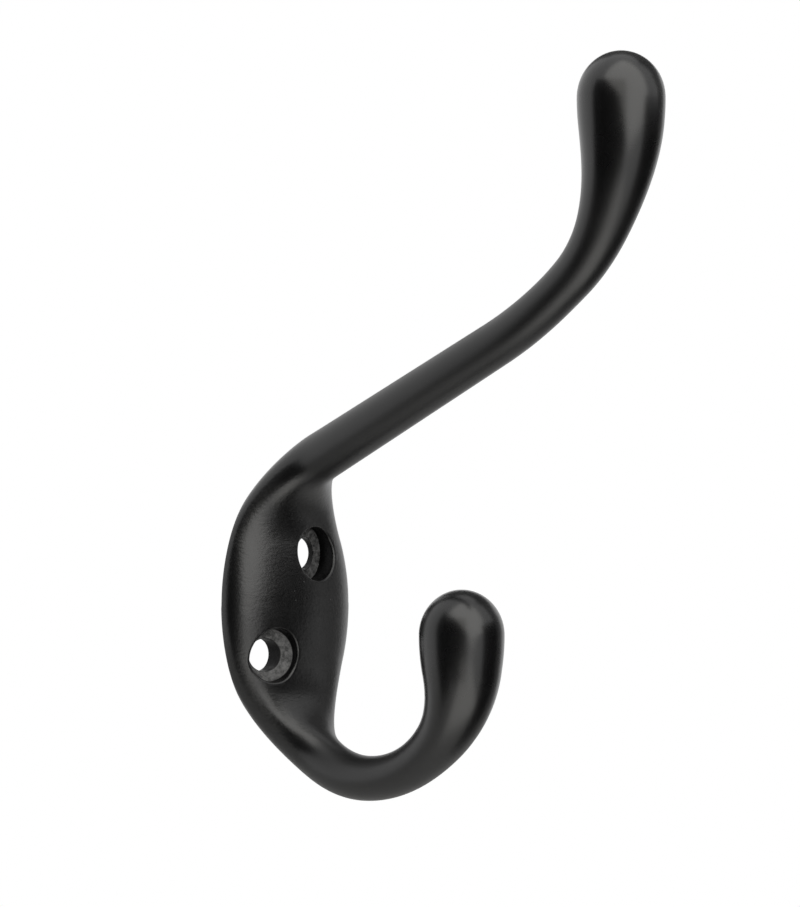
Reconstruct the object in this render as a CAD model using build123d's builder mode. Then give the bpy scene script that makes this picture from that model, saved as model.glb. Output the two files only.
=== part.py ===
from build123d import *
import os
from math import cos, exp, radians, sin, sqrt, tan

# Double coat hook, cast in one piece.  Millimetres, +Z up.
# The flat back lies on the wall plane Y = 0 and the hook reaches out to -Y.
# The origin is the middle of the back, halfway between the screw holes in height.

# Leaf-shaped plate
plate_half_width = 13.0
plate_thickness = 5.45
plate_rim_level = 0.3        # height of the widest line above the wall
plate_depth_behind = 4.0     # the round back, cut away flat at the wall
leaf_side_radius = 31.0      # the leaf's outline is two side arcs
dome_fullness = 0.45         # handle of the face curve at the middle of the plate
rim_fullness = 0.72          # handle of the face curve at the rim

# Upper arm, from the plate to the tip
arm_corner_height = 19.1     # where the arm's line would meet the plate's
arm_bend_radius = 15.15
arm_rise = 24.2              # degrees above level
arm_straight = 40.3
arm_sweep_radius = 73.0      # the first turn up is wide
arm_sweep = 14.4             # degrees
arm_elbow_radius = 23.0      # the second is tight
arm_elbow = 25.0             # degrees
arm_last_radius = 33.2       # the last turn ends upright
arm_tip_length = 3.35
arm_root_radius = 4.1
arm_waist_radius = 3.23
arm_waist_to_tip = 32.0      # the waist lies this far before the widest part of the knob

# Lower hook, from the plate round to the tip
hook_start_depth = 8.15      # below the origin
hook_root_turn_radius = 18.2     # a quarter turn away from the wall
hook_bottom_radius = 23.0    # then an eighth turn up
hook_end_radius = 14.75      # and one more, which ends upright
hook_tip_length = 5.35
hook_root_radius = 4.25
hook_waist_radius = 3.0
hook_waist_to_tip = 14.4     # the waist lies this far before the widest part of the knob

# Teardrop knobs
knob_radius = 6.45
knob_dome_height = 6.85
upper_knob_taper = 15.75
lower_knob_taper = 15.0

# Roots: how sharply leaf and arm blend, and what the face gains there in depth and fullness
upper_blend = 6.4
lower_blend = 3.7
upper_root_gain = -1.0
lower_root_gain = -1.0
upper_root_fullness = 0.0
lower_root_fullness = 0.15

# Screw holes on a diagonal: a bore, and a dished seat in a pocket for the screw's head
hole_offset_x = 4.3
hole_offset_z = 7.8
hole_pair_shift = -1.25      # the pair sits a little to the left of the middle
screw_bore_radius = 2.55
pocket_radius = 4.15
seat_level = 1.8             # height of the seat's inner edge above the wall
seat_slope = 22.0            # degrees from the seat's inner edge up to the pocket's wall
seat_tilt = 18.5             # each seat leans outwards, square to the domed face
mouth_rounding = 0.4

circle_handle = 0.5523       # Bezier handle of a quarter circle
section_spacing = 4.5
dome_angles = (25, 45, 60, 72, 81, 86)


def centre_line(start_run, turns, tip_run, side):
    """The line through the middle plane, from the plate (side 1 goes up, -1 down) to a tip.

    turns holds bends (radius, degrees) and straight runs (length,), in order.
    """
    with BuildLine(Plane.YZ) as line:
        run = Line((-plate_rim_level, 0), (-plate_rim_level, side * start_run))
        for turn in turns:
            if len(turn) == 1:
                run = Line(run @ 1, run @ 1 + turn[0] * (run % 1))
            else:
                run = JernArc(run @ 1, run % 1, turn[0], turn[1])
        Line(run @ 1, run @ 1 + tip_run * (run % 1))
    return line.wires()[0]


arm_turn_out = 90 - arm_rise
arm_start_height = arm_corner_height - arm_bend_radius * tan(radians(arm_turn_out / 2))
arm_turns = [
    (arm_bend_radius, arm_turn_out),
    (arm_straight,),
    (arm_sweep_radius, -arm_sweep),
    (arm_elbow_radius, -arm_elbow),
    (arm_last_radius, arm_sweep + arm_elbow - arm_turn_out),
]
hook_turns = [(hook_root_turn_radius, -90), (hook_bottom_radius, -45), (hook_end_radius, -45)]
upper_line = centre_line(arm_start_height, arm_turns, arm_tip_length, 1)
lower_line = centre_line(hook_start_depth, hook_turns, hook_tip_length, -1)


def knob_swell(to_tip, taper):
    """Share of the knob's extra radius at this distance before its widest part."""
    return exp(-((to_tip / taper) ** 2))


def arm_radius(along, length, root_radius, waist_radius, waist_to_tip, taper):
    """Radius along an arm: it thins from the root to the waist, then swells to the knob."""
    thinning = min(1, along / (length - waist_to_tip))
    arm = root_radius + (waist_radius - root_radius) * thinning
    return arm + (knob_radius - arm) * knob_swell(length - along, taper)


def leaf_half_width(height):
    """Half the width of the leaf at a height, 0 past its points."""
    if abs(height) >= leaf_side_radius:
        return 0
    return max(0, plate_half_width - leaf_side_radius + sqrt(leaf_side_radius**2 - height**2))


def section(plane, half_width, front, back, on_plate, fullness):
    """One closed section of four Bezier quarters; on_plate is 1 on the plate and 0 on an arm."""
    middle = circle_handle + (dome_fullness - circle_handle) * on_plate + fullness
    rim = circle_handle + (rim_fullness - circle_handle) * on_plate + fullness
    with BuildLine(plane) as ring:
        for x in (half_width, -half_width):
            Bezier((0, front), (middle * x, front), (x, rim * front), (x, 0))
            Bezier((0, -back), (circle_handle * x, -back), (x, -circle_handle * back), (x, 0))
    return Face(ring.wires()[0])


def line_sections(line, radii, blend, root_gain, root_fullness, side):
    """Sections along one centre line, from the plate to the knob's rounded end."""
    count = round(line.length / section_spacing)
    sections = []
    for i in range(count + 1):
        along = line.length * i / count
        point = line.position_at(along, position_mode=PositionMode.LENGTH)
        heading = line.tangent_at(along, position_mode=PositionMode.LENGTH)
        radius = arm_radius(along, line.length, *radii)
        leaf = leaf_half_width(point.Z) if i < count / 2 else 0
        half_width = (leaf**blend + radius**blend) ** (1 / blend)
        on_plate = min(1, max(0, (half_width - radius) / (plate_half_width - radius)))
        at_root = 4 * on_plate * (1 - on_plate)
        front = radius + (plate_thickness - plate_rim_level - radius) * on_plate + at_root * root_gain
        back = radius + (plate_depth_behind - radius) * sqrt(on_plate)
        plane = Plane(origin=point, x_dir=(1, 0, 0), z_dir=-side * heading)
        sections.append(section(plane, half_width, front, back, on_plate, at_root * root_fullness))
    tip, heading = line @ 1, line % 1
    for angle in dome_angles:
        radius = knob_radius * cos(radians(angle))
        point = tip + heading * knob_dome_height * sin(radians(angle))
        plane = Plane(origin=point, x_dir=(1, 0, 0), z_dir=-side * heading)
        sections.append(section(plane, radius, radius, radius, 0, 0))
    sections.append(Vertex(*(tip + heading * knob_dome_height)))
    return sections


upper_radii = (arm_root_radius, arm_waist_radius, arm_waist_to_tip, upper_knob_taper)
lower_radii = (hook_root_radius, hook_waist_radius, hook_waist_to_tip, lower_knob_taper)
upper_sections = line_sections(
    upper_line, upper_radii, upper_blend, upper_root_gain, upper_root_fullness, 1
)
lower_sections = line_sections(
    lower_line, lower_radii, lower_blend, lower_root_gain, lower_root_fullness, -1
)


def screw_room(x, z, tilt):
    """What one screw takes: a bore, and a pocket square to the wall with a tilted, dished seat."""
    reach = 2 * plate_thickness
    rise = tan(radians(seat_slope))
    lean = Plane(origin=(x, -seat_level, z), x_dir=(1, 0, 0), z_dir=(0, 0, 1)).rotated((0, 0, tilt))
    wall = Plane(origin=(x, 0, z), x_dir=(1, 0, 0), z_dir=(0, -1, 0))
    with BuildPart() as room:
        with BuildSketch(lean):
            with BuildLine():
                Polyline(
                    (0, rise * screw_bore_radius),
                    (reach, -rise * (reach - screw_bore_radius)),
                    (reach, -2 * reach),
                    (0, -2 * reach),
                    close=True,
                )
            make_face()
        revolve(axis=Axis(lean.origin, lean.y_dir))
        with BuildSketch(wall):
            Circle(pocket_radius)
        extrude(amount=reach, mode=Mode.INTERSECT)
        with BuildSketch(wall):
            Circle(screw_bore_radius)
        extrude(amount=plate_thickness, both=True)
    return room.part


screw_rooms = [
    screw_room(hole_pair_shift + hole_offset_x, hole_offset_z, seat_tilt),
    screw_room(hole_pair_shift - hole_offset_x, -hole_offset_z, -seat_tilt),
]

with BuildPart() as hook_body:
    loft([*reversed(upper_sections), *lower_sections[1:]], clean=False)
    # everything behind the wall plane is cut away, which leaves the flat back
    with BuildSketch(Plane.XZ):
        Rectangle(4 * plate_half_width, 4 * leaf_side_radius)
    extrude(amount=-2 * plate_depth_behind, mode=Mode.SUBTRACT, clean=False)
    for room in screw_rooms:
        add(room, mode=Mode.SUBTRACT, clean=False)
        # the seat's two edges lie deepest; what is left of the cut's edges is its mouth
        mouth = hook_body.edges(Select.LAST).filter_by(GeomType.BSPLINE).sort_by(Axis.Y)[:-2]
        fillet(mouth, mouth_rounding)

hook_body.part.label = "hook_body"
os.makedirs("parts", exist_ok=True)
export_step(hook_body.part, "parts/hook_body.step")
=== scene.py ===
import math

import bpy
from bpy.props import FloatProperty, FloatVectorProperty, IntProperty, PointerProperty
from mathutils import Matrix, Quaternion, Vector


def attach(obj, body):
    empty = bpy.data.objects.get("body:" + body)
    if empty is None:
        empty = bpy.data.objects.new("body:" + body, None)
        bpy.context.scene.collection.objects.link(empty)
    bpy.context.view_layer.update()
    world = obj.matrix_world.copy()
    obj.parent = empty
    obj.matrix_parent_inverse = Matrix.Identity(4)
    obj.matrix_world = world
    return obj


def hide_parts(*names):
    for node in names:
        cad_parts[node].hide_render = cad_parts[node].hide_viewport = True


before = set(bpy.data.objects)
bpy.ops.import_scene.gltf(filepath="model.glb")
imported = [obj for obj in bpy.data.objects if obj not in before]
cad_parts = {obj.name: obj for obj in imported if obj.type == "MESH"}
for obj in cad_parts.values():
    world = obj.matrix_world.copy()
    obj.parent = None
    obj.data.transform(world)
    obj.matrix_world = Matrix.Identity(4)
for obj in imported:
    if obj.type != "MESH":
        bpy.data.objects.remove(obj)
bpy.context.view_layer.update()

bl_info = {
    "name": "Double Coat Hook",
    "version": (1, 0, 0),
    "blender": (4, 5, 0),
    "location": "View3D > Sidebar > Coat Hook",
    "description": "Makes a cast double coat hook with a satin black lacquer, and a plain studio for it",
    "category": "Add Mesh",
}

# The hook stands in the part's own frame, in metres: the wall plane is Y = 0, the hook
# reaches out to -Y and +Z is up.
MM = 0.001
CIRCLE_HANDLE = 0.5523       # Bezier handle of a quarter circle
MERGE_DISTANCE = 0.001 * MM  # points closer than this become one
SHARP_EDGE = math.radians(32)    # only the holes' and the back's edges turn by more


def length(name, description, millimetres):
    """A size in the panel, given here in millimetres."""
    return FloatProperty(
        name=name, description=description, default=millimetres * MM, unit="LENGTH", precision=5
    )


def share(name, description, value):
    """A plain number in the panel."""
    return FloatProperty(name=name, description=description, default=value, precision=4)


def angle(name, description, degrees):
    """An angle in the panel, given here in degrees."""
    return FloatProperty(
        name=name, description=description, default=math.radians(degrees), unit="ROTATION"
    )


def watts(name, description, power):
    """A lamp's power in the panel."""
    return FloatProperty(name=name, description=description, default=power, unit="POWER", precision=4)


class HookPlateSizes(bpy.types.PropertyGroup):
    """Sizes of the leaf-shaped wall plate."""

    half_width: length("Half width", "Half the leaf's greatest width", 13.0)
    thickness: length("Thickness", "From the wall to the top of the dome", 5.45)
    rim_level: length("Rim level", "Height of the widest line above the wall", 0.3)
    depth_behind: length("Depth behind", "The round back, which the wall plane cuts away", 4.0)
    leaf_side_radius: length("Leaf side radius", "The two side arcs of the leaf's outline", 31.0)
    dome_fullness: share("Dome fullness", "Handle of the face curve at the middle", 0.45)
    rim_fullness: share("Rim fullness", "Handle of the face curve at the rim", 0.72)


class HookArmSizes(bpy.types.PropertyGroup):
    """Sizes of the upper arm."""

    corner_height: length("Corner height", "Where the arm's line would meet the plate's", 19.1)
    bend_radius: length("Bend radius", "The bend from the plate into the arm", 15.15)
    rise: angle("Rise", "The arm's angle above level", 24.2)
    straight: length("Straight", "The straight run of the arm", 40.3)
    sweep_radius: length("Sweep radius", "The first turn up, a wide one", 73.0)
    sweep: angle("Sweep", "The angle of the first turn up", 14.4)
    elbow_radius: length("Elbow radius", "The second turn up, a tight one", 23.0)
    elbow: angle("Elbow", "The angle of the second turn up", 25.0)
    last_radius: length("Last radius", "The last turn, which ends upright", 33.2)
    tip_length: length("Tip length", "The upright run below the knob's widest part", 3.35)
    root_radius: length("Root radius", "The arm's radius at the plate", 4.1)
    waist_radius: length("Waist radius", "The arm's radius at its thinnest", 3.23)
    waist_to_tip: length("Waist to tip", "From the waist to the knob's widest part", 32.0)
    knob_taper: length("Knob taper", "How slowly the arm swells into the knob", 15.75)
    blend: share("Root blend", "How sharply the leaf and the arm blend", 6.4)
    root_gain: length("Root gain", "What the face gains in depth at the root", -1.0)
    root_fullness: share("Root fullness", "What the face gains in fullness at the root", 0.0)


class HookLowerSizes(bpy.types.PropertyGroup):
    """Sizes of the lower hook."""

    start_depth: length("Start depth", "Where its bend starts, below the middle", 8.15)
    root_turn_radius: length("Root turn radius", "A quarter turn away from the wall", 18.2)
    bottom_radius: length("Bottom radius", "The next eighth turn, upwards", 23.0)
    end_radius: length("End radius", "The last eighth turn, which ends upright", 14.75)
    tip_length: length("Tip length", "The upright run below the knob's widest part", 5.35)
    root_radius: length("Root radius", "The hook's radius at the plate", 4.25)
    waist_radius: length("Waist radius", "The hook's radius at its thinnest", 3.0)
    waist_to_tip: length("Waist to tip", "From the waist to the knob's widest part", 14.4)
    knob_taper: length("Knob taper", "How slowly the hook swells into the knob", 15.0)
    blend: share("Root blend", "How sharply the leaf and the hook blend", 3.7)
    root_gain: length("Root gain", "What the face gains in depth at the root", -1.0)
    root_fullness: share("Root fullness", "What the face gains in fullness at the root", 0.15)


class HookKnobSizes(bpy.types.PropertyGroup):
    """Sizes of the two teardrop knobs."""

    radius: length("Radius", "The knob at its widest", 6.45)
    dome_height: length("Dome height", "From the widest part to the knob's end", 6.85)


class HookHoleSizes(bpy.types.PropertyGroup):
    """Sizes of the two screw holes."""

    offset_x: length("Offset across", "From the pair's middle to a hole, sideways", 4.3)
    offset_z: length("Offset in height", "From the pair's middle to a hole, upwards", 7.8)
    pair_shift: length("Pair shift", "The pair's middle, from the plate's middle line", -1.25)
    bore_radius: length("Bore radius", "The hole through the plate", 2.55)
    pocket_radius: length("Pocket radius", "The pocket for the screw's head", 4.15)
    seat_level: length("Seat level", "Height of the seat's inner edge above the wall", 1.8)
    seat_slope: angle("Seat slope", "From the seat's inner edge up to the pocket's wall", 22.0)
    seat_tilt: angle("Seat tilt", "Each seat leans outwards, square to the domed face", 18.5)
    mouth_rounding: length("Mouth rounding", "Radius of the pocket's edge in the face", 0.4)


class HookMeshSizes(bpy.types.PropertyGroup):
    """How finely the casting's mesh is divided."""

    stations: IntProperty(name="Stations", description="Sections along the hook", default=330)
    around: IntProperty(name="Around", description="Points round one section", default=128)
    dome_share: share("Dome share", "Share of the stations in each knob's end", 0.05)


class HookLacquer(bpy.types.PropertyGroup):
    """The satin black lacquer."""

    colour: FloatVectorProperty(
        name="Colour", description="The lacquer's own colour", subtype="COLOR", size=3,
        default=(0.0025, 0.0025, 0.0027), min=0, max=1,
    )
    index: share("Refractive index", "How strongly it reflects", 1.55)
    knob_roughness: share("Knob roughness", "How soft the knobs' reflections are", 0.27)
    arm_roughness: share("Arm roughness", "How soft the arms' reflections are", 0.38)
    plate_roughness: share("Plate roughness", "How soft the plate's reflections are", 0.31)
    grain: length("Grain", "Spacing of the cast grain under the lacquer", 0.5)
    grain_depth: length("Grain depth", "Height of the cast grain on the plate", 0.03)
    smoothing: share("Smoothing", "How much of the grain is left on arms and knobs", 0.06)
    seat_colour: FloatVectorProperty(
        name="Seat colour", description="The thinner coat on the seats", subtype="COLOR", size=3,
        default=(0.095, 0.095, 0.096), min=0, max=1,
    )


class HookStudio(bpy.types.PropertyGroup):
    """The camera and the lamps."""

    view_azimuth: angle("View azimuth", "The camera's direction; negative is from the left", -45.0)
    distance: length("Distance", "From the camera to the hook", 700.0)
    floor_drop: length("Floor drop", "The floor's depth below the origin", 75.0)
    key_power: watts("Key power", "The softbox", 0.8)
    middle_power: watts("Middle power", "What the softbox gives more in its middle", 0.17)
    table_power: watts("Table power", "The small softbox that lies in front", 0.122)
    key_roll: angle("Key roll", "How far the softbox is turned about its own axis", 34.0)
    fill: share("Fill", "The room's level of light, where 1 is white", 0.4)


# Trees of nodes


class Number:
    """A number in a node tree. Sums of such numbers add Math nodes to the tree."""

    def __init__(self, tree, socket):
        self.tree = tree
        self.socket = socket

    def math(self, operation, *others):
        node = self.tree.nodes.new("ShaderNodeMath")
        node.operation = operation
        for slot, item in enumerate((self, *others)):
            connect(self.tree, item, node.inputs[slot])
        return Number(self.tree, node.outputs[0])

    def __add__(self, other):
        return self.math("ADD", other)

    def __sub__(self, other):
        return self.math("SUBTRACT", other)

    def __mul__(self, other):
        return self.math("MULTIPLY", other)

    def __truediv__(self, other):
        return self.math("DIVIDE", other)

    def __pow__(self, other):
        return self.math("POWER", other)

    def __neg__(self):
        return self * -1

    __radd__ = __add__
    __rmul__ = __mul__

    def __rsub__(self, other):
        return -self + other

    def at_least(self, other):
        return self.math("MAXIMUM", other)

    def at_most(self, other):
        return self.math("MINIMUM", other)

    def clamped(self):
        """This number, kept between 0 and 1."""
        return self.at_least(0.0).at_most(1.0)

    def above(self, other):
        """1 where this is the greater, otherwise 0."""
        return self.math("GREATER_THAN", other)

    def towards(self, other, amount):
        """This number where amount is 0, the other where it is 1."""
        return self + (other - self) * amount


def connect(tree, item, socket):
    """Feeds a socket with a number, another socket or a plain value."""
    if isinstance(item, Number):
        item = item.socket
    if isinstance(item, bpy.types.NodeSocket):
        tree.links.new(item, socket)
    else:
        socket.default_value = item


def add_node(tree, kind, inputs=None, **settings):
    """Adds a node, sets what it says of itself, and feeds its inputs by name or number."""
    node = tree.nodes.new(kind)
    for name, value in settings.items():
        setattr(node, name, value)
    for name, item in (inputs or {}).items():
        connect(tree, item, node.inputs[name])
    return node


def split(tree, vector):
    """The three parts of a vector."""
    node = add_node(tree, "ShaderNodeSeparateXYZ", {0: vector})
    return [Number(tree, socket) for socket in node.outputs]


def join(tree, x, y, z):
    """A vector from three numbers."""
    return add_node(tree, "ShaderNodeCombineXYZ", {0: x, 1: y, 2: z}).outputs[0]


def new_tree(name, geometry, numbers):
    """A geometry tree, the socket of the geometry that it takes, and its sizes by name."""
    tree = bpy.data.node_groups.new(name, "GeometryNodeTree")
    tree.interface.new_socket(name=geometry, in_out="INPUT", socket_type="NodeSocketGeometry")
    for label in numbers:
        tree.interface.new_socket(name=label, in_out="INPUT", socket_type="NodeSocketFloat")
    tree.interface.new_socket(name="Geometry", in_out="OUTPUT", socket_type="NodeSocketGeometry")
    inputs = tree.nodes.new("NodeGroupInput")
    sockets = {label: Number(tree, inputs.outputs[label]) for label in numbers}
    return tree, inputs.outputs[geometry], sockets


def unit_grid(tree, rows, columns):
    """A flat grid, and each point's place on it as two numbers from 0 to 1."""
    grid = add_node(
        tree, "GeometryNodeMeshGrid",
        {"Size X": 1.0, "Size Y": 1.0, "Vertices X": rows, "Vertices Y": columns},
    )
    u, v, _ = split(tree, tree.nodes.new("GeometryNodeInputPosition").outputs[0])
    return grid.outputs["Mesh"], u + 0.5, v + 0.5


def closed_shell(tree, grid, position):
    """The grid with its points moved to their places, and its seams and poles closed."""
    placed = add_node(tree, "GeometryNodeSetPosition", {"Geometry": grid, "Position": position})
    closed = add_node(
        tree, "GeometryNodeMergeByDistance",
        {"Geometry": placed.outputs[0], "Distance": MERGE_DISTANCE},
    )
    return closed.outputs[0]


def choose(tree, index, choices):
    """The one of several numbers that has this index."""
    switch = add_node(tree, "GeometryNodeIndexSwitch", data_type="FLOAT")
    while len(switch.index_switch_items) < len(choices):
        switch.index_switch_items.new()
    connect(tree, index, switch.inputs["Index"])
    for slot, choice in enumerate(choices):
        connect(tree, choice, switch.inputs[str(slot)])
    return Number(tree, switch.outputs[0])


def ramp(number, low, high):
    """0 below low, 1 above high, and straight between."""
    return ((number - low) / (high - low)).clamped()


def distance(across, up):
    """How far a point lies from one to which it has these two offsets."""
    return (across * across + up * up).math("SQRT")


SCREW_ROOM_INPUTS = (
    "Centre X", "Centre Z", "Tilt", "Bore radius", "Pocket radius", "Seat level", "Seat slope",
    "Mouth rounding",
)


def screw_room_tree():
    """The room of one screw, as a closed tool: a bore, a tilted dished seat, a pocket and its mouth.

    Its rings run from the axis behind the wall to the axis in front of the face. Rays from the
    front find the height of the casting's face, so the mouth's rounding follows it all round.
    """
    tree, casting, size = new_tree("Screw room", "Casting", SCREW_ROOM_INPUTS)
    turns, arc_steps = 128, 8
    before_arc, after_arc = 4, 3
    rings = before_arc + arc_steps + 1 + after_arc
    arc_share = 0.88             # the arc ends a little short of the face
    flare = 1.5 * MM             # and the tool runs on straight for this far, through the face
    behind, clear = -3 * MM, 14 * MM
    ray_start = -30 * MM

    grid, u, v = unit_grid(tree, rings, turns + 1)
    ring = (u * (rings - 1)).math("ROUND")
    turn = v * math.tau
    along_x, along_z = turn.math("COSINE"), turn.math("SINE")
    pocket, bore, rounding = size["Pocket radius"], size["Bore radius"], size["Mouth rounding"]

    def place(radius, y):
        return join(tree, size["Centre X"] + radius * along_x, y, size["Centre Z"] + radius * along_z)

    def face_height(radius):
        ray = add_node(
            tree, "GeometryNodeRaycast",
            {
                "Target Geometry": casting, "Source Position": place(radius, ray_start),
                "Ray Direction": (0, 1, 0), "Ray Length": 1.0,
            },
        )
        return -split(tree, ray.outputs["Hit Position"])[1]

    height = face_height(pocket)
    slope = (face_height(pocket + 2 * rounding) - height) / (2 * rounding)
    spread = (slope * slope + 1.0).math("SQRT")
    arc_out = height + (slope - spread) * rounding
    arc_end = (slope / spread).math("ARCCOSINE") * arc_share
    arc_turn = ramp(ring, before_arc, before_arc + arc_steps) * arc_end
    arc_radius = pocket + rounding * (1 - arc_turn.math("COSINE"))
    arc_height = arc_out + rounding * arc_turn.math("SINE")
    flare_radius = arc_radius + arc_end.math("SINE") * flare
    flare_height = arc_height + arc_end.math("COSINE") * flare

    tilt_rise = size["Tilt"].math("TANGENT")
    seat_rise = size["Seat slope"].math("TANGENT")

    def seat_height(radius):
        return size["Seat level"] + radius * along_x * tilt_rise + (radius - bore) * seat_rise

    # one radius and one height for each ring, or for all rings of the arc
    kind = ring.at_most(before_arc) + (ring - (before_arc + arc_steps)).at_least(0.0)
    radii = [0.0, bore, bore, pocket, arc_radius, flare_radius, flare_radius, 0.0]
    heights = [
        behind, behind, seat_height(bore), seat_height(pocket), arc_height, flare_height, clear, clear,
    ]
    radius, out = choose(tree, kind, radii), choose(tree, kind, heights)
    shell = closed_shell(tree, grid, place(radius, -out))
    outwards = add_node(tree, "GeometryNodeFlipFaces", {"Mesh": shell})
    add_node(tree, "NodeGroupOutput", {"Geometry": outwards.outputs[0]})
    return tree


# sizes that both the upper arm and the lower hook have, under these names in their groups too
ARM_SIZES = (
    "root radius", "waist radius", "waist to tip", "knob taper", "blend", "root gain", "root fullness",
)
CASTING_INPUTS = (
    "Plate half width", "Plate thickness", "Rim level", "Depth behind", "Leaf side radius",
    "Dome fullness", "Rim fullness", "Knob radius", "Knob dome height", "Dome share",
    "Hole offset X", "Hole offset Z", "Pair shift", "Seat tilt", "Bore radius", "Pocket radius",
    "Seat level", "Seat slope", "Mouth rounding",
    *("Arm " + label for label in ("length", *ARM_SIZES)),
    *("Hook " + label for label in ("length", *ARM_SIZES)),
)


def casting_tree(room_tree, stations, around, finish):
    """The whole casting: sections along its centre line, the flat back and the screw rooms."""
    tree, line, size = new_tree("Hook casting", "Centre line", CASTING_INPUTS)
    grid, station, turn = unit_grid(tree, stations, around + 1)

    # where along the line, closer together over the knobs' round ends
    dome, ends = size["Knob dome height"], size["Dome share"]
    arms = size["Arm length"] + size["Hook length"]
    first_end = (station / ends).at_most(1.0) * (math.pi / 2)
    last_end = ((1 - station) / ends).at_most(1.0) * (math.pi / 2)
    between = ((station - ends) / (1 - 2 * ends)).clamped()
    over_ends = (1 - first_end.math("COSINE")) * dome + last_end.math("COSINE") * dome
    along_line = over_ends + between * arms
    sample = add_node(
        tree, "GeometryNodeSampleCurve", {"Curves": line, "Length": along_line}, mode="LENGTH"
    )
    centre, heading = sample.outputs["Position"], sample.outputs["Tangent"]
    centre_height = split(tree, centre)[2]

    middle = dome + size["Arm length"]
    lower = along_line.above(middle)

    def of_arm(label):
        """A size of the upper arm above the middle, and the lower hook's below it."""
        return size["Arm " + label].towards(size["Hook " + label], lower)

    along = (along_line - middle).math("ABSOLUTE")
    run = of_arm("length")
    to_tip = run - along
    thinning = (along / (run - of_arm("waist to tip"))).at_most(1.0)
    arm = of_arm("root radius").towards(of_arm("waist radius"), thinning)
    swell = (-((to_tip.at_least(0.0) / of_arm("knob taper")) ** 2.0)).math("EXPONENT")
    radius = arm.towards(size["Knob radius"], swell)
    hair = 1.00001               # the end is reached a hair early, so that it closes in a point
    over_end = ((-to_tip).at_least(0.0) / dome * hair).at_most(1.0)
    rounding = (1 - over_end * over_end).math("SQRT")

    side_radius = size["Leaf side radius"]
    arc = (side_radius * side_radius - centre_height * centre_height).at_least(0.0).math("SQRT")
    near_plate = (run * 0.5).above(along)
    leaf = (size["Plate half width"] - side_radius + arc).at_least(0.0) * near_plate
    blend = of_arm("blend")
    half_width = radius * (1 + (leaf / radius) ** blend) ** (blend ** -1.0)
    on_plate = ((half_width - radius) / (size["Plate half width"] - radius)).clamped()
    at_root = on_plate * (1 - on_plate) * 4.0
    gain = at_root * of_arm("root gain")
    front = radius.towards(size["Plate thickness"] - size["Rim level"], on_plate) + gain
    fullness = at_root * of_arm("root fullness")
    back = radius.towards(size["Depth behind"], on_plate.math("SQRT"))

    # round each section in four Bezier quarters, from the front over the rim to the back
    t = (turn * 4.0).math("PINGPONG", 1.0)
    behind = 1 - ((turn - 0.5).math("ABSOLUTE")).above(0.25)
    side = 1 - 2 * turn.above(0.5)

    def handle(leaf_handle):
        """A circle's handle on the arms and behind, passing into the leaf's on the plate's face."""
        in_front = leaf_handle * on_plate + (1 - on_plate) * CIRCLE_HANDLE + fullness
        return in_front * (1 - behind) + behind * CIRCLE_HANDLE

    near_handle, rim_handle = handle(size["Dome fullness"]), handle(size["Rim fullness"])
    depth = front.towards(-back, behind)
    s = 1 - t
    sideways = 3 * s * s * t * near_handle + 3 * s * t * t + t * t * t
    across = sideways * side * half_width * rounding
    outward = (s * s * s + 3 * s * s * t + 3 * s * t * t * rim_handle) * depth * rounding
    _, heading_y, heading_z = split(tree, heading)
    offset = join(tree, across, heading_z * outward, -heading_y * outward)
    position = add_node(tree, "ShaderNodeVectorMath", {0: centre, 1: offset}, operation="ADD")
    casting = closed_shell(tree, grid, position.outputs[0])

    wall_depth, wall_size = 20 * MM, 90 * MM
    wall_box = add_node(tree, "GeometryNodeMeshCube", {"Size": (wall_size, wall_depth, wall_size)})
    wall = add_node(
        tree, "GeometryNodeTransform",
        {"Geometry": wall_box.outputs["Mesh"], "Translation": (0, wall_depth / 2, 0)},
    )
    cut = add_node(
        tree, "GeometryNodeMeshBoolean", {"Mesh 1": casting}, operation="DIFFERENCE", solver="MANIFOLD"
    )
    tree.links.new(wall.outputs[0], cut.inputs["Mesh 2"])
    for sign in (1, -1):
        room = tree.nodes.new("GeometryNodeGroup")
        room.node_tree = room_tree
        connect(tree, casting, room.inputs["Casting"])
        connect(tree, size["Pair shift"] + size["Hole offset X"] * sign, room.inputs["Centre X"])
        connect(tree, size["Hole offset Z"] * sign, room.inputs["Centre Z"])
        connect(tree, size["Seat tilt"] * -sign, room.inputs["Tilt"])
        for label in SCREW_ROOM_INPUTS[3:]:
            connect(tree, size[label], room.inputs[label])
        tree.links.new(room.outputs[0], cut.inputs["Mesh 2"])
    smooth = add_node(tree, "GeometryNodeSetShadeSmooth", {"Geometry": cut.outputs[0]})
    real = add_node(tree, "GeometryNodeRealizeInstances", {"Geometry": smooth.outputs[0]})
    dressed = add_node(
        tree, "GeometryNodeSetMaterial", {"Geometry": real.outputs[0], "Material": finish}
    )
    add_node(tree, "NodeGroupOutput", {"Geometry": dressed.outputs[0]})
    return tree


# The hook


def centre_line(start, heading, runs):
    """Points along straight runs (length,) and arcs (radius, angle) in the middle plane.

    Headings are angles from -Y, the way out, up towards +Z; a positive arc turns upwards.
    """
    step = 0.2 * MM
    points = [start]
    for run in runs:
        reach = run[0] if len(run) == 1 else run[0] * abs(run[1])
        count = max(1, round(reach / step))
        turn = 0 if len(run) == 1 else run[1] / count
        chord = reach / count * (1 if turn == 0 else math.sin(abs(turn) / 2) / (abs(turn) / 2))
        for _ in range(count):
            heading += turn / 2
            y, z = points[-1]
            points.append((y - chord * math.cos(heading), z + chord * math.sin(heading)))
            heading += turn / 2
    return points


def run_length(runs):
    """The length of straight runs and arcs together."""
    return sum(run[0] if len(run) == 1 else run[0] * abs(run[1]) for run in runs)


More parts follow.
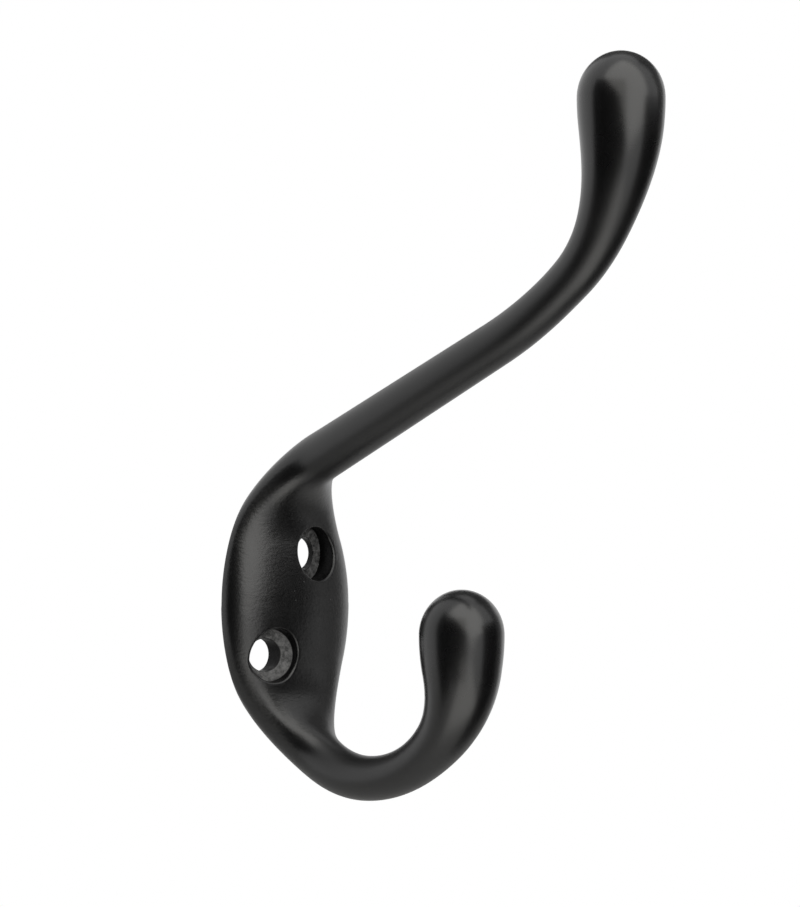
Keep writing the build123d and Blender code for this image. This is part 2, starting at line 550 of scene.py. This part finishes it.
def make_line(name, points):
    """A curve object with one straight-sided spline through the points."""
    curve = bpy.data.curves.new(name, "CURVE")
    curve.dimensions = "3D"
    spline = curve.splines.new("POLY")
    spline.points.add(len(points) - 1)
    for point, (y, z) in zip(spline.points, points):
        point.co = (0, y, z, 1)
    line = bpy.data.objects.new(name, curve)
    bpy.context.scene.collection.objects.link(line)
    return line


def noise(tree, place, spacing, detail, stretch=(1.0, 1.0, 1.0)):
    """Soft noise from 0 to 1 on a place in the part, with lumps about this far apart."""
    scaled = add_node(tree, "ShaderNodeVectorMath", {0: place, 1: stretch}, operation="MULTIPLY")
    texture = add_node(
        tree, "ShaderNodeTexNoise",
        {"Vector": scaled.outputs[0], "Scale": 1 / spacing, "Detail": detail},
    )
    return Number(tree, texture.outputs[0])


# levels on Y over which the plate passes into the arms, and its rim into its back
PLATE_FADE = (-11 * MM, -6 * MM)
BACK_FADE = (-0.06 * MM, -0.02 * MM)
# distances past a bore's radius over which its seat begins, and past a pocket's radius over which
# the seat ends and the face begins
SEAT_START = (0.02 * MM, 0.12 * MM)
SEAT_END = (-0.1 * MM, -0.02 * MM)
FACE_START = (0.02 * MM, 0.12 * MM)
# distances from a knob's middle over which it passes into its arm
KNOB_FADE = (9 * MM, 18 * MM)


def screw_room_masks(x, z, hole, in_front):
    """Three masks: the seats, the walls of bores and pockets, and all of these together."""
    on_seat = on_wall = in_room = 0.0
    for sign in (1, -1):
        off_x = x - (hole.pair_shift + sign * hole.offset_x)
        off_z = z - sign * hole.offset_z
        reach = distance(off_x, off_z)
        past_pocket = reach - hole.pocket_radius
        seat = ramp(reach - hole.bore_radius, *SEAT_START) * (1 - ramp(past_pocket, *SEAT_END))
        inside = 1 - ramp(past_pocket, *FACE_START)
        on_seat = seat * in_front + on_seat
        on_wall = inside * (1 - seat) * in_front + on_wall
        in_room = inside * in_front + in_room
    return on_seat, on_wall, in_room


def lacquer_material(lacquer, hole, knobs):
    """Satin black lacquer: smooth on arms and knobs, grainy on the plate, thin on the rough seats."""
    material = bpy.data.materials.new("satin black lacquer")
    material.use_nodes = True
    tree = material.node_tree
    shader = tree.nodes["Principled BSDF"]
    place = add_node(tree, "ShaderNodeTexCoord").outputs["Object"]
    x, y, z = split(tree, place)

    on_plate = ramp(y, *PLATE_FADE)
    on_back = ramp(y, *BACK_FADE)
    in_front = on_plate * (1 - on_back)
    on_seat, on_wall, in_room = screw_room_masks(x, z, hole, in_front)
    flat = in_front * (1 - in_room)
    on_knob = 0.0
    for knob_y, knob_z in knobs:
        on_knob = 1 - ramp(distance(y - knob_y, z - knob_z), *KNOB_FADE) + on_knob

    unit = lacquer.grain
    grain = noise(tree, place, unit, detail=2.0, stretch=(0.8, 0.8, 1.3))
    fine = noise(tree, place, 0.3 * unit, detail=1.0)
    waves = noise(tree, place, 6 * unit, detail=1.0, stretch=(0.6, 1.0, 1.6))
    lumps = noise(tree, place, 1.4 * unit, detail=4.0)
    mottle = noise(tree, place, 9 * unit, detail=3.0)

    # a few grains of grit under the coat of the plate, each highest at its core
    grit = add_node(tree, "ShaderNodeTexVoronoi", {"Vector": place, "Scale": 1 / (4 * unit)})
    share_left_out = 0.72
    core, edge = 0.02, 0.07
    chosen = split(tree, grit.outputs["Color"])[0].above(share_left_out)
    speck = (1 - ramp(Number(tree, grit.outputs["Distance"]), core, edge)) * chosen

    # heights, as shares of the grain's depth
    fine_height, lump_height, speck_height = 0.25, 2.0, 1.2
    grainy = flat * (1 - lacquer.smoothing) + lacquer.smoothing
    height = (grain + fine * fine_height + waves) * grainy + speck * flat * speck_height
    height = height + (lumps * lump_height + fine) * in_room + (lumps * lump_height + grain) * on_back
    bump = add_node(
        tree, "ShaderNodeBump", {"Strength": 1.0, "Distance": lacquer.grain_depth, "Height": height}
    )
    tree.links.new(bump.outputs[0], shader.inputs["Normal"])

    # what the noises, the seats and the back add to the roughness
    mottle_gain, grain_gain, seat_gain, back_gain = 0.08, 0.06, 0.22, 0.15
    softness = on_plate * (lacquer.plate_roughness - lacquer.arm_roughness) + lacquer.arm_roughness
    softness = softness + on_knob * (lacquer.knob_roughness - lacquer.arm_roughness)
    softness = softness + (mottle - 0.5) * mottle_gain + (grain - 0.5) * grain_gain * flat
    softness = softness + on_seat * seat_gain + on_back * back_gain
    connect(tree, softness, shader.inputs["Roughness"])

    # painted shade: the walls of the screw rooms have their shine turned down, which darkens the insides
    # of the pockets
    shine, painted_wall_shade = 0.5, 0.42
    connect(tree, shine - painted_wall_shade * on_wall, shader.inputs["Specular IOR Level"])
    connect(tree, lacquer.index, shader.inputs["IOR"])

    # on a seat the coat is thin where the lumps are high
    patchiness, covered, bare = 0.3, 0.5, 0.8
    thin = on_seat * ramp(lumps + fine * patchiness, covered, bare)
    colour = add_node(
        tree, "ShaderNodeMix",
        {"Factor": thin, "A": (*lacquer.colour, 1), "B": (*lacquer.seat_colour, 1)},
        data_type="RGBA",
    )
    connect(tree, colour.outputs[2], shader.inputs["Base Color"])
    return material


class HOOK_OT_add_casting(bpy.types.Operator):
    """Makes the one-piece casting, in place of the plain solid"""

    bl_idname = "coat_hook.add_casting"
    bl_label = "Add Casting"

    def execute(self, context):
        scene = context.scene
        plate, arm, low = scene.hook_plate, scene.hook_arm, scene.hook_lower
        knob, hole, mesh_sizes = scene.hook_knob, scene.hook_hole, scene.hook_mesh
        turn_out = math.pi / 2 - arm.rise
        start_height = arm.corner_height - arm.bend_radius * math.tan(turn_out / 2)
        arm_runs = [
            (start_height,),
            (arm.bend_radius, -turn_out),
            (arm.straight,),
            (arm.sweep_radius, arm.sweep),
            (arm.elbow_radius, arm.elbow),
            (arm.last_radius, turn_out - arm.sweep - arm.elbow),
            (arm.tip_length,),
        ]
        low_runs = [
            (low.start_depth,),
            (low.root_turn_radius, math.pi / 2),
            (low.bottom_radius, math.pi / 4),
            (low.end_radius, math.pi / 4),
            (low.tip_length,),
        ]
        start = (-plate.rim_level, 0)
        up = centre_line(start, math.pi / 2, [*arm_runs, (knob.dome_height,)])
        down = centre_line(start, -math.pi / 2, [*low_runs, (knob.dome_height,)])
        line = make_line("centre line", [*reversed(up), *down[1:]])

        values = {
            "Plate half width": plate.half_width, "Plate thickness": plate.thickness,
            "Rim level": plate.rim_level, "Depth behind": plate.depth_behind,
            "Leaf side radius": plate.leaf_side_radius, "Dome fullness": plate.dome_fullness,
            "Rim fullness": plate.rim_fullness,
            "Knob radius": knob.radius, "Knob dome height": knob.dome_height,
            "Dome share": mesh_sizes.dome_share, "Hole offset X": hole.offset_x,
            "Hole offset Z": hole.offset_z, "Pair shift": hole.pair_shift, "Seat tilt": hole.seat_tilt,
            "Bore radius": hole.bore_radius, "Pocket radius": hole.pocket_radius,
            "Seat level": hole.seat_level, "Seat slope": hole.seat_slope,
            "Mouth rounding": hole.mouth_rounding,
            "Arm length": run_length(arm_runs), "Hook length": run_length(low_runs),
        }
        for label in ARM_SIZES:
            field = label.replace(" ", "_")
            values["Arm " + label] = getattr(arm, field)
            values["Hook " + label] = getattr(low, field)
        knobs = [(y, z - knob.dome_height) for y, z in (up[-1], down[-1])]
        finish = lacquer_material(scene.hook_lacquer, hole, knobs)
        tree = casting_tree(screw_room_tree(), mesh_sizes.stations, mesh_sizes.around, finish)
        modifier = line.modifiers.new("casting", "NODES")
        modifier.node_group = tree
        for item in tree.interface.items_tree:
            if item.in_out == "INPUT" and item.name in values:
                modifier[item.identifier] = values[item.name]
        shape = line.evaluated_get(context.evaluated_depsgraph_get())
        mesh = bpy.data.meshes.new_from_object(shape)
        mesh.name = "hook casting"
        line.modifiers.remove(modifier)
        bpy.data.objects.remove(line)
        mesh.set_sharp_from_angle(angle=SHARP_EDGE)
        casting = bpy.data.objects.new("hook_casting", mesh)
        scene.collection.objects.link(casting)
        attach(casting, "root")
        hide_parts("hook_body")
        return {"FINISHED"}


# The studio


# the photograph's frame, in pixels, with the origin left of its middle and below it
PHOTO_HEIGHT = 907
ORIGIN_LEFT, ORIGIN_BELOW = 117.6, 150
PIXELS_PER_METRE = 6400
SENSOR_WIDTH = 36            # Blender's camera sizes are in millimetres

# places are right, up and back of the origin, as the camera looks, in metres
LAMP_COLOUR = (1.0, 0.985, 0.94)
SOFTBOX_PLACE, SOFTBOX_TARGET = (0.121, 0.183, 0.187), (0.076, 0.039, -0.011)
SOFTBOX_SIZE, MIDDLE_SIZE = (0.31, 0.505), (0.26, 0.4)
TABLE_PLACE, TABLE_TARGET = (0.04, 0.079), (0.04, 0.1, 0.059)    # it lies just above the floor
TABLE_SIZE, TABLE_ROLL = (0.105, 0.285), math.radians(-14)
CLOTH_MIDDLE = (0.028, 0.028)    # right and back
WHITE = (1, 1, 1, 1)


def cloths(floor, black, grey, dark):
    """Each cloth's name, arc in degrees to the camera's right, profile (radius, level) and material."""
    return (
        ("front flag", (-62, 12), ((0.16, floor), (0.9, floor), (0.9, 0.8)), black),
        ("low left flag", (-72, -40), ((0.1, -0.065), (0.1, 0.055)), black),
        ("high left flag", (-74, -55), ((0.2, 0.03), (0.2, 0.22)), black),
        ("side flag", (57, 108), ((0.01, floor), (0.23, 0.085)), black),
        ("right cloth", (104, 134), ((0.02, floor), (0.5, floor), (0.5, 0.4)), grey),
        ("back flag", (110, 204), ((0.6, 0.28), (0.35, 0.6)), dark),
    )


class Room:
    """Places round the hook, by the camera's own right, up and back."""

    def __init__(self, azimuth):
        self.right = Vector((math.cos(azimuth), math.sin(azimuth), 0))
        self.up = Vector((0, 0, 1))
        self.back = Vector((math.sin(azimuth), -math.cos(azimuth), 0))

    def place(self, right, up, back):
        return self.right * right + self.up * up + self.back * back

    def round(self, centre, degrees, radius, level):
        """A place at a radius round a centre, by its angle to the right of the camera."""
        around = math.radians(degrees)
        right, back = centre
        return self.place(right + radius * math.sin(around), level, back + radius * math.cos(around))


def add_camera(scene, room, distance_to_hook):
    """The level camera, which shows the photograph's frame."""
    data = bpy.data.cameras.new("camera")
    camera = bpy.data.objects.new("camera", data)
    scene.collection.objects.link(camera)
    data.sensor_width = SENSOR_WIDTH
    data.lens = SENSOR_WIDTH * PIXELS_PER_METRE * distance_to_hook / PHOTO_HEIGHT
    data.clip_start, data.clip_end = 0.05, 20
    right, up = ORIGIN_LEFT / PIXELS_PER_METRE, ORIGIN_BELOW / PIXELS_PER_METRE
    camera.location = room.place(right, up, distance_to_hook)
    camera.rotation_mode = "QUATERNION"
    camera.rotation_quaternion = (-room.back).to_track_quat("-Z", "Y")
    scene.camera = camera


def add_floor(scene, level):
    """The floor, a wide square at this level."""
    mesh = bpy.data.meshes.new("floor")
    half = 6.0
    corners = [(-half, -half, level), (half, -half, level), (half, half, level), (-half, half, level)]
    mesh.from_pydata(corners, [], [(0, 1, 2, 3)])
    floor = bpy.data.objects.new("floor", mesh)
    scene.collection.objects.link(floor)
    mesh.materials.append(floor_material())


def add_softbox(name, place, target, roll, size, power):
    """A soft rectangular lamp that faces a target, turned about its own axis by roll."""
    data = bpy.data.lights.new(name, "AREA")
    data.shape = "RECTANGLE"
    data.size, data.size_y = size
    data.energy = power
    data.color = LAMP_COLOUR
    lamp = bpy.data.objects.new(name, data)
    lamp.location = place
    lamp.rotation_mode = "QUATERNION"
    facing = (target - place).to_track_quat("-Z", "Y")
    lamp.rotation_quaternion = facing @ Quaternion((0, 0, 1), roll)
    lamp.visible_camera = False
    bpy.context.scene.collection.objects.link(lamp)


def add_flag(name, room, arc, profile, cloth):
    """A cloth bent round the hook, which only the lacquer's reflections see."""
    steps = 24
    corners = []
    for step in range(steps + 1):
        degrees = arc[0] + (arc[1] - arc[0]) * step / steps
        corners += [room.round(CLOTH_MIDDLE, degrees, radius, level) for radius, level in profile]
    row = len(profile)
    faces = [
        (step * row + side, (step + 1) * row + side, (step + 1) * row + side + 1, step * row + side + 1)
        for step in range(steps) for side in range(row - 1)
    ]
    mesh = bpy.data.meshes.new(name)
    mesh.from_pydata(corners, [], faces)
    mesh.materials.append(cloth)
    flag = bpy.data.objects.new(name, mesh)
    flag.visible_camera = flag.visible_diffuse = flag.visible_shadow = False
    bpy.context.scene.collection.objects.link(flag)


def seen_or_mirrored(tree):
    """1 for rays from the camera and for those in gloss and glass, otherwise 0."""
    path = tree.nodes.new("ShaderNodeLightPath")
    seen = Number(tree, path.outputs["Is Camera Ray"])
    for name in ("Is Glossy Ray", "Is Transmission Ray"):
        seen = seen.at_least(Number(tree, path.outputs[name]))
    return seen


def plain_material(name, shade):
    """A matt material of one grey."""
    material = bpy.data.materials.new(name)
    material.use_nodes = True
    tree = material.node_tree
    tree.nodes.clear()
    matt = add_node(tree, "ShaderNodeBsdfDiffuse", {"Color": (shade, shade, shade, 1)})
    add_node(tree, "ShaderNodeOutputMaterial", {"Surface": matt.outputs[0]})
    return material


def floor_material():
    """A pale floor: it keeps the hook's shadow, and away from the hook it is the background's white."""
    material = plain_material("pale floor", 0.8)
    tree = material.node_tree
    matt = next(node for node in tree.nodes if node.type == "BSDF_DIFFUSE")
    output = next(node for node in tree.nodes if node.type == "OUTPUT_MATERIAL")
    place = add_node(tree, "ShaderNodeTexCoord").outputs["Object"]
    across, deep, _ = split(tree, place)
    near, far = 0.16, 0.26
    glow_share = ramp(distance(across, deep), near, far) * seen_or_mirrored(tree)
    glow = add_node(tree, "ShaderNodeEmission", {"Color": WHITE, "Strength": 1.0})
    both = add_node(tree, "ShaderNodeMixShader", {0: glow_share, 1: matt.outputs[0], 2: glow.outputs[0]})
    tree.links.new(both.outputs[0], output.inputs["Surface"])
    return material


def light_room(scene, fill):
    """A dim white room, which the camera and the lacquer's reflections see as plain white."""
    world = bpy.data.worlds.new("studio")
    scene.world = world
    world.use_nodes = True
    tree = world.node_tree
    tree.nodes.clear()
    dim = add_node(tree, "ShaderNodeBackground", {"Color": WHITE, "Strength": fill})
    white = add_node(tree, "ShaderNodeBackground", {"Color": WHITE, "Strength": 1.0})
    seen = seen_or_mirrored(tree)
    both = add_node(tree, "ShaderNodeMixShader", {0: seen, 1: dim.outputs[0], 2: white.outputs[0]})
    add_node(tree, "ShaderNodeOutputWorld", {"Surface": both.outputs[0]})


class HOOK_OT_add_stage(bpy.types.Operator):
    """Makes the camera, the floor, the softboxes, the cloths round the hook and the white room"""

    bl_idname = "coat_hook.add_stage"
    bl_label = "Add Stage"

    def execute(self, context):
        scene = context.scene
        studio = scene.hook_studio
        room = Room(studio.view_azimuth)
        level = -studio.floor_drop
        lamp_lift, cloth_lift = 2 * MM, 1 * MM
        add_camera(scene, room, studio.distance)
        add_floor(scene, level)

        place, target = room.place(*SOFTBOX_PLACE), room.place(*SOFTBOX_TARGET)
        roll = studio.key_roll
        add_softbox("softbox", place, target, roll, SOFTBOX_SIZE, studio.key_power)
        add_softbox("softbox middle", place, target, roll, MIDDLE_SIZE, studio.middle_power)
        right, back = TABLE_PLACE
        place, target = room.place(right, level + lamp_lift, back), room.place(*TABLE_TARGET)
        add_softbox("table softbox", place, target, TABLE_ROLL, TABLE_SIZE, studio.table_power)

        black = plain_material("black cloth", 0.004)
        grey = plain_material("grey cloth", 0.36)
        dark = plain_material("dark cloth", 0.3)
        for name, arc, profile, cloth in cloths(level + cloth_lift, black, grey, dark):
            add_flag(name, room, arc, profile, cloth)

        light_room(scene, studio.fill)
        scene.view_settings.view_transform = "Standard"
        return {"FINISHED"}


class HOOK_PT_sidebar(bpy.types.Panel):
    """The hook's operators and sizes"""

    bl_label = "Coat Hook"
    bl_idname = "HOOK_PT_sidebar"
    bl_space_type = "VIEW_3D"
    bl_region_type = "UI"
    bl_category = "Coat Hook"

    def draw(self, context):
        layout = self.layout
        layout.operator(HOOK_OT_add_casting.bl_idname)
        layout.operator(HOOK_OT_add_stage.bl_idname)
        for name, kind in SETTINGS.items():
            box = layout.box()
            box.label(text=kind.__doc__)
            group = getattr(context.scene, name)
            for field in kind.__annotations__:
                box.prop(group, field)


SETTINGS = {
    "hook_plate": HookPlateSizes,
    "hook_arm": HookArmSizes,
    "hook_lower": HookLowerSizes,
    "hook_knob": HookKnobSizes,
    "hook_hole": HookHoleSizes,
    "hook_mesh": HookMeshSizes,
    "hook_lacquer": HookLacquer,
    "hook_studio": HookStudio,
}
CLASSES = (*SETTINGS.values(), HOOK_OT_add_casting, HOOK_OT_add_stage, HOOK_PT_sidebar)


def register():
    for cls in CLASSES:
        bpy.utils.register_class(cls)
    for name, kind in SETTINGS.items():
        setattr(bpy.types.Scene, name, PointerProperty(type=kind))


def unregister():
    for name in SETTINGS:
        delattr(bpy.types.Scene, name)
    for cls in reversed(CLASSES):
        bpy.utils.unregister_class(cls)


def main():
    """Makes everything."""
    register()
    bpy.ops.coat_hook.add_casting()
    bpy.ops.coat_hook.add_stage()


if __name__ == "__main__":
    main()
